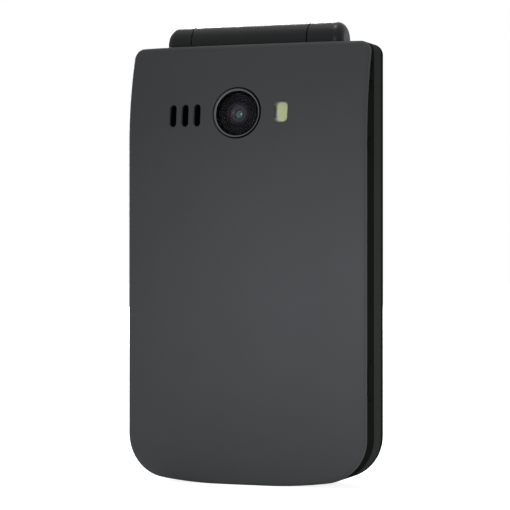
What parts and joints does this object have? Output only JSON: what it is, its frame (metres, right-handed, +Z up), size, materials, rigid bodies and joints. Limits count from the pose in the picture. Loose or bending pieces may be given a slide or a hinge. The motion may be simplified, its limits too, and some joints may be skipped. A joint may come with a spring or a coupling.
{
  "type": "flip phone",
  "caption": "Clamshell mobile phone, closed: lid on a cam hinge, sprung keys, volume rocker, removable battery cover, charging and headphone sockets.",
  "frame": {"origin": "on the surface the phone stands on, below the middle of its bounding box", "axes": "+Z up through the hinge, +X towards the socket side, -Y towards the battery cover, +Y towards the outside of the lid"},
  "size_m": [0.0576, 0.0176, 0.105],
  "materials": {
    "cover_plastic": "charcoal moulded plastic, fine satin grain",
    "frame_plastic": "charcoal moulded plastic, satin",
    "lid_plastic": "charcoal moulded plastic, satin",
    "hinge_plastic": "black moulded plastic, low gloss",
    "key_plastic": "black keys with plain legends",
    "inner_plastic": "black moulded plastic",
    "black_glass": "black-backed window",
    "display_glass": "display module",
    "ring_metal": "dark anodised ring",
    "lens_plastic": "pale yellow light guide",
    "steel": "plain steel",
    "tin_plate": "tin-plated sheet",
    "contact_brass": "gold-plated contact",
    "board_laminate": "green laminate with solder mask",
    "film": "white polyester film",
    "cell_wrap": "dark grey battery wrap",
    "soft_rubber": "soft black pad",
    "flex_film": "amber flexible circuit",
    "mesh_fabric": "black dust mesh"
  },
  "bodies": {
    "keypad_half": {"base_frame": "frame_plastic", "keypad_bezel": "frame_plastic", "battery": "cell_wrap", "battery_contacts": "contact_brass", "main_board": "board_laminate", "shield_can": "tin_plate", "keypad_dome_sheet": "film", "rear_housing": "inner_plastic", "camera_ring": "ring_metal", "camera_window": "black_glass", "camera_module": "inner_plastic", "flash_led": "lens_plastic", "loudspeaker": "inner_plastic", "speaker_mesh": "mesh_fabric", "usb_c_socket": "steel", "headphone_socket": "inner_plastic", "sim_card_socket": "tin_plate", "memory_card_socket": "tin_plate", "microphone": "tin_plate", "vibration_motor": "steel", "base_screws": "steel", "hinge_shaft": "steel", "hinge_end_caps": "hinge_plastic", "hinge_stub": "steel"},
    "battery_cover_body": {"battery_cover": "cover_plastic", "flash_window": "lens_plastic"},
    "lid": {"lid_frame": "lid_plastic", "lid_outer_shell": "lid_plastic", "main_display_window": "black_glass", "main_display": "display_glass", "display_chassis": "tin_plate", "outer_display": "display_glass", "outer_display_window": "black_glass", "earpiece": "inner_plastic", "hinge_cartridge": "steel", "hinge_cam_follower": "steel", "hinge_spring": "steel", "lid_bumpers": "soft_rubber", "lid_screws": "steel", "display_cable": "flex_film"},
    "volume_rocker_body": {"volume_rocker": "hinge_plastic"},
    "key_1_body": {"key_1": "key_plastic"},
    "key_2_body": {"key_2": "key_plastic"},
    "key_3_body": {"key_3": "key_plastic"},
    "key_4_body": {"key_4": "key_plastic"},
    "key_5_body": {"key_5": "key_plastic"},
    "key_6_body": {"key_6": "key_plastic"},
    "key_7_body": {"key_7": "key_plastic"},
    "key_8_body": {"key_8": "key_plastic"},
    "key_9_body": {"key_9": "key_plastic"},
    "key_star_body": {"key_star": "key_plastic"},
    "key_0_body": {"key_0": "key_plastic"},
    "key_hash_body": {"key_hash": "key_plastic"},
    "key_soft_left_body": {"key_soft_left": "key_plastic"},
    "key_soft_right_body": {"key_soft_right": "key_plastic"},
    "key_call_body": {"key_call": "key_plastic"},
    "key_end_body": {"key_end": "key_plastic"},
    "key_clear_body": {"key_clear": "key_plastic"},
    "key_ok_body": {"key_ok": "key_plastic"},
    "nav_ring_body": {"nav_ring": "key_plastic"}
  },
  "joints": [
    {"name": "hinge_lid", "type": "hinge", "parent": "keypad_half", "child": "lid", "pos_m": [0, 0.00222, 0.1007], "axis": [1, 0, 0], "range_deg": [0, 160]},
    {"name": "battery_cover_off", "type": "slide", "parent": "keypad_half", "child": "battery_cover_body", "axis": [0, -1, 0], "range_m": [0, 0.02]},
    {"name": "volume_rock", "type": "hinge", "parent": "keypad_half", "child": "volume_rocker_body", "pos_m": [-0.02665, -0.00332, 0.0753], "axis": [0, 1, 0], "range_deg": [-1.5, 1.5], "stiffness_Nm_per_rad": 0.15},
    {"name": "key_1", "type": "slide", "parent": "keypad_half", "child": "key_1_body", "axis": [0, -1, 0], "range_m": [0, 0.00025], "stiffness_N_per_m": 300},
    {"name": "key_2", "type": "slide", "parent": "keypad_half", "child": "key_2_body", "axis": [0, -1, 0], "range_m": [0, 0.00025], "stiffness_N_per_m": 300},
    {"name": "key_3", "type": "slide", "parent": "keypad_half", "child": "key_3_body", "axis": [0, -1, 0], "range_m": [0, 0.00025], "stiffness_N_per_m": 300},
    {"name": "key_4", "type": "slide", "parent": "keypad_half", "child": "key_4_body", "axis": [0, -1, 0], "range_m": [0, 0.00025], "stiffness_N_per_m": 300},
    {"name": "key_5", "type": "slide", "parent": "keypad_half", "child": "key_5_body", "axis": [0, -1, 0], "range_m": [0, 0.00025], "stiffness_N_per_m": 300},
    {"name": "key_6", "type": "slide", "parent": "keypad_half", "child": "key_6_body", "axis": [0, -1, 0], "range_m": [0, 0.00025], "stiffness_N_per_m": 300},
    {"name": "key_7", "type": "slide", "parent": "keypad_half", "child": "key_7_body", "axis": [0, -1, 0], "range_m": [0, 0.00025], "stiffness_N_per_m": 300},
    {"name": "key_8", "type": "slide", "parent": "keypad_half", "child": "key_8_body", "axis": [0, -1, 0], "range_m": [0, 0.00025], "stiffness_N_per_m": 300},
    {"name": "key_9", "type": "slide", "parent": "keypad_half", "child": "key_9_body", "axis": [0, -1, 0], "range_m": [0, 0.00025], "stiffness_N_per_m": 300},
    {"name": "key_star", "type": "slide", "parent": "keypad_half", "child": "key_star_body", "axis": [0, -1, 0], "range_m": [0, 0.00025], "stiffness_N_per_m": 300},
    {"name": "key_0", "type": "slide", "parent": "keypad_half", "child": "key_0_body", "axis": [0, -1, 0], "range_m": [0, 0.00025], "stiffness_N_per_m": 300},
    {"name": "key_hash", "type": "slide", "parent": "keypad_half", "child": "key_hash_body", "axis": [0, -1, 0], "range_m": [0, 0.00025], "stiffness_N_per_m": 300},
    {"name": "key_soft_left", "type": "slide", "parent": "keypad_half", "child": "key_soft_left_body", "axis": [0, -1, 0], "range_m": [0, 0.00025], "stiffness_N_per_m": 300},
    {"name": "key_soft_right", "type": "slide", "parent": "keypad_half", "child": "key_soft_right_body", "axis": [0, -1, 0], "range_m": [0, 0.00025], "stiffness_N_per_m": 300},
    {"name": "key_call", "type": "slide", "parent": "keypad_half", "child": "key_call_body", "axis": [0, -1, 0], "range_m": [0, 0.00025], "stiffness_N_per_m": 300},
    {"name": "key_end", "type": "slide", "parent": "keypad_half", "child": "key_end_body", "axis": [0, -1, 0], "range_m": [0, 0.00025], "stiffness_N_per_m": 300},
    {"name": "key_clear", "type": "slide", "parent": "keypad_half", "child": "key_clear_body", "axis": [0, -1, 0], "range_m": [0, 0.00025], "stiffness_N_per_m": 300},
    {"name": "key_ok", "type": "slide", "parent": "keypad_half", "child": "key_ok_body", "axis": [0, -1, 0], "range_m": [0, 0.00025], "stiffness_N_per_m": 300},
    {"name": "key_nav_ring", "type": "slide", "parent": "keypad_half", "child": "nav_ring_body", "axis": [0, -1, 0], "range_m": [0, 0.00025], "stiffness_N_per_m": 300}
  ]
}
